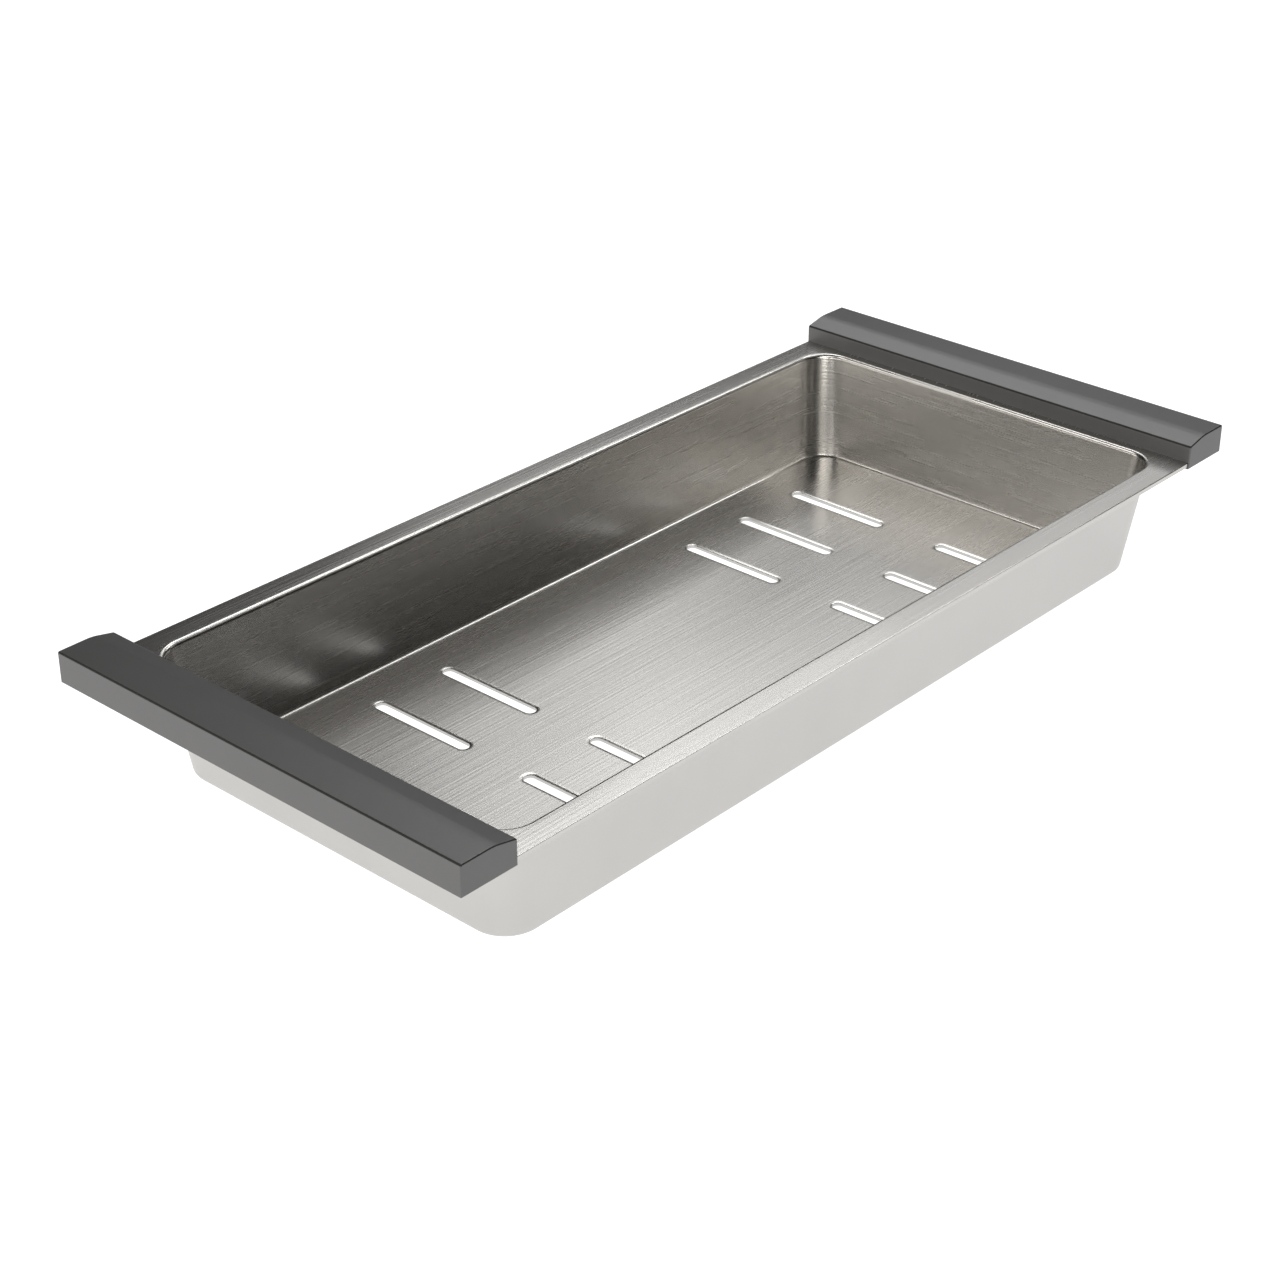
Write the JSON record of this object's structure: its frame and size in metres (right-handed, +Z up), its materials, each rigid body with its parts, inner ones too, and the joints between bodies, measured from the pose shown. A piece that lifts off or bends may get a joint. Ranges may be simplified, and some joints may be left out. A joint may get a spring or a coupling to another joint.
{
  "type": "sink colander tray",
  "caption": "Shallow brushed steel colander tray with slots in its floor and dark grey end grips that rest on the ledges of a workstation sink.",
  "frame": {"origin": "centre of the underside of the pan's floor, which is the lowest face of the part", "axes": "+X from the left grip to the right grip along the tray's length, +Y across the tray towards its rear long side, +Z up out of the open bowl"},
  "size_m": [0.43, 0.1948, 0.0556],
  "materials": {
    "pan_steel": "brushed",
    "grip_plastic": "matte, fine grain",
    "base_plastic": "matte",
    "screw_steel": "plain bright",
    "pad_rubber": "matte"
  },
  "bodies": {
    "root": {"colander_pan": "pan_steel", "left_grip_cover": "grip_plastic", "right_grip_cover": "grip_plastic", "left_grip_base": "base_plastic", "right_grip_base": "base_plastic", "left_grip_screws": "screw_steel", "right_grip_screws": "screw_steel", "left_rest_pads": "pad_rubber", "right_rest_pads": "pad_rubber"}
  },
  "joints": []
}
